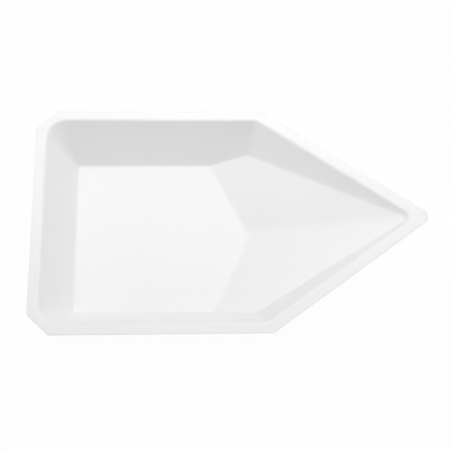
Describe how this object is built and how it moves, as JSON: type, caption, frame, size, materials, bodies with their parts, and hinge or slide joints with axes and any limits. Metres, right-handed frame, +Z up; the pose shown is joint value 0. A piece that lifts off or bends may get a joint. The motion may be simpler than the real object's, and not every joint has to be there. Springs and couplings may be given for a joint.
{
  "type": "weighing boat",
  "caption": "Shallow white plastic weighing boat: flat floor, leaning walls, flat rim with cut back corners, and a ramp that rises to a blunt pouring tip.",
  "frame": {"origin": "below the middle of the overall outline, on the underside of the floor", "axes": "+X towards the pouring tip, +Y across the dish, +Z up out of the hollow"},
  "size_m": [0.14, 0.088, 0.016],
  "materials": {
    "polystyrene": "satin white heat-formed polystyrene sheet, slightly translucent"
  },
  "bodies": {
    "root": {"dish": "polystyrene"}
  },
  "joints": []
}
